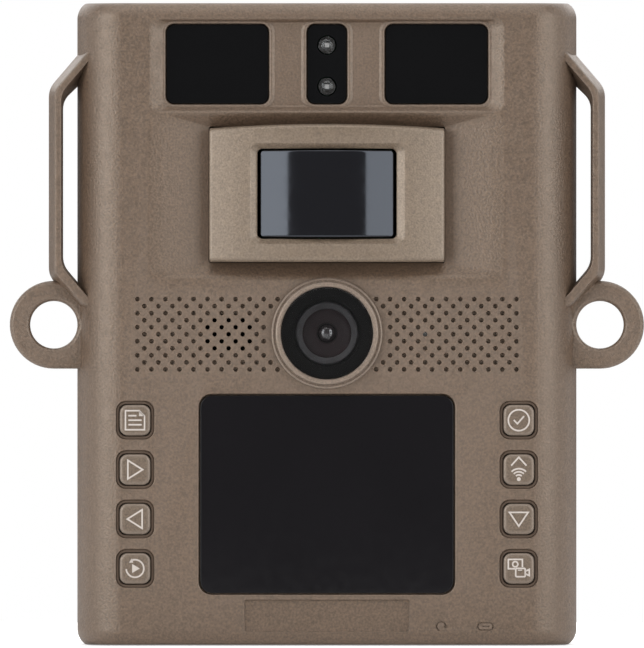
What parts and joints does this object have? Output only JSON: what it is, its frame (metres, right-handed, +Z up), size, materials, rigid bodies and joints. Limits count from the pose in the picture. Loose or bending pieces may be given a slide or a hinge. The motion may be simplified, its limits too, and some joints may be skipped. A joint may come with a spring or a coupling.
{
  "type": "trail camera",
  "caption": "Weatherproof wildlife camera: front display with keys at both sides, curved motion sensor, flash windows, strap bars, lock eyes and a rear battery door.",
  "frame": {"origin": "on the base at the middle of the width, 2.7 mm behind the line where the housings meet", "axes": "+X to the right as seen from the front, +Y from the front to the back, +Z up; the lens looks along -Y"},
  "size_m": [0.1334, 0.062, 0.1348],
  "materials": {
    "shell": "tan-brown moulded ABS with a fine spark-eroded grain",
    "bezel": "tan moulded plastic, finer and slightly lighter than the shell",
    "key_cap": "satin brown moulded key caps",
    "black_window": "polished black infrared-pass acrylic",
    "display_glass": "polished black acrylic over a switched-off display",
    "sensor_lens": "polished black polyethylene with a fine facet pattern inside",
    "lens_glass": "clear coated cover glass",
    "lens_barrel": "black anodised barrel with ground front glass",
    "rubber_seal": "dark brown moulded rubber",
    "silicone": "translucent grey silicone",
    "circuit_board": "green solder mask on glass fibre board",
    "black_plastic": "black moulded plastic",
    "steel": "nickel-plated steel",
    "brass": "turned brass",
    "battery_sleeve": "plain dark blue printed sleeve; aluminium gives a cell its real mass of about 22 g"
  },
  "bodies": {
    "root": {"front_housing": "shell", "rear_housing": "shell", "strap_bar_left": "shell", "strap_bar_right": "shell", "lock_eye_left": "shell", "lock_eye_right": "shell", "lens_ring": "shell", "sensor_bezel": "bezel", "flash_window_left": "black_window", "flash_window_right": "black_window", "indicator_window": "black_window", "display_window": "display_glass", "sensor_lens": "sensor_lens", "lens_cover": "lens_glass", "lens_barrel": "lens_barrel", "housing_gasket": "rubber_seal", "door_seal": "rubber_seal", "keypad_mat_left": "silicone", "keypad_mat_right": "silicone", "main_board": "circuit_board", "image_sensor_board": "circuit_board", "sensor_board": "circuit_board", "flash_board": "circuit_board", "display_panel": "black_plastic", "lens_holder": "black_plastic", "speaker": "black_plastic", "motion_sensor": "steel", "microphone": "steel", "usb_socket": "steel", "card_socket": "steel", "hinge_pin": "steel", "battery_contacts_lower": "steel", "battery_contacts_upper": "steel", "tripod_insert": "brass", "housing_screw_lower_left": "steel", "housing_screw_lower_right": "steel", "housing_screw_upper_left": "steel", "housing_screw_upper_right": "steel", "battery_cell_1": "battery_sleeve", "battery_cell_2": "battery_sleeve", "battery_cell_3": "battery_sleeve", "battery_cell_4": "battery_sleeve", "battery_cell_5": "battery_sleeve", "battery_cell_6": "battery_sleeve", "battery_cell_7": "battery_sleeve", "battery_cell_8": "battery_sleeve"},
    "key_play": {"key_play": "key_cap"},
    "key_left": {"key_left": "key_cap"},
    "key_right": {"key_right": "key_cap"},
    "key_menu": {"key_menu": "key_cap"},
    "key_mode": {"key_mode": "key_cap"},
    "key_down": {"key_down": "key_cap"},
    "key_up": {"key_up": "key_cap"},
    "key_ok": {"key_ok": "key_cap"},
    "reset_button": {"reset_button": "black_plastic"},
    "power_switch": {"power_switch": "black_plastic"},
    "memory_card": {"memory_card": "black_plastic"},
    "port_cover": {"port_cover": "rubber_seal"},
    "battery_door": {"battery_door": "shell"},
    "battery_latch": {"battery_latch": "key_cap"}
  },
  "joints": [
    {"name": "key_play_press", "type": "slide", "parent": "root", "child": "key_play", "axis": [0, 1, 0], "range_m": [0, 0.0006], "stiffness_N_per_m": 2000, "springref_m": -0.0002},
    {"name": "key_left_press", "type": "slide", "parent": "root", "child": "key_left", "axis": [0, 1, 0], "range_m": [0, 0.0006], "stiffness_N_per_m": 2000, "springref_m": -0.0002},
    {"name": "key_right_press", "type": "slide", "parent": "root", "child": "key_right", "axis": [0, 1, 0], "range_m": [0, 0.0006], "stiffness_N_per_m": 2000, "springref_m": -0.0002},
    {"name": "key_menu_press", "type": "slide", "parent": "root", "child": "key_menu", "axis": [0, 1, 0], "range_m": [0, 0.0006], "stiffness_N_per_m": 2000, "springref_m": -0.0002},
    {"name": "key_mode_press", "type": "slide", "parent": "root", "child": "key_mode", "axis": [0, 1, 0], "range_m": [0, 0.0006], "stiffness_N_per_m": 2000, "springref_m": -0.0002},
    {"name": "key_down_press", "type": "slide", "parent": "root", "child": "key_down", "axis": [0, 1, 0], "range_m": [0, 0.0006], "stiffness_N_per_m": 2000, "springref_m": -0.0002},
    {"name": "key_up_press", "type": "slide", "parent": "root", "child": "key_up", "axis": [0, 1, 0], "range_m": [0, 0.0006], "stiffness_N_per_m": 2000, "springref_m": -0.0002},
    {"name": "key_ok_press", "type": "slide", "parent": "root", "child": "key_ok", "axis": [0, 1, 0], "range_m": [0, 0.0006], "stiffness_N_per_m": 2000, "springref_m": -0.0002},
    {"name": "reset_button_press", "type": "slide", "parent": "root", "child": "reset_button", "axis": [0, 0, 1], "range_m": [0, 0.0004], "stiffness_N_per_m": 2000, "springref_m": -0.0002},
    {"name": "power_switch_slide", "type": "slide", "parent": "root", "child": "power_switch", "axis": [1, 0, 0], "range_m": [-0.002, 0.002]},
    {"name": "memory_card_press", "type": "slide", "parent": "root", "child": "memory_card", "axis": [0, 0, 1], "range_m": [0, 0.0008], "stiffness_N_per_m": 800, "springref_m": -0.0003},
    {"name": "port_cover_swing", "type": "hinge", "parent": "root", "child": "port_cover", "pos_m": [0.02, -0.0137, 0.0012], "axis": [1, 0, 0], "range_deg": [0, 90]},
    {"name": "battery_door_swing", "type": "hinge", "parent": "root", "child": "battery_door", "pos_m": [0.0385, 0.0265, 0.0674], "axis": [0, 0, -1], "range_deg": [0, 110]},
    {"name": "battery_latch_slide", "type": "slide", "parent": "battery_door", "child": "battery_latch", "axis": [1, 0, 0], "range_m": [0, 0.004]}
  ]
}
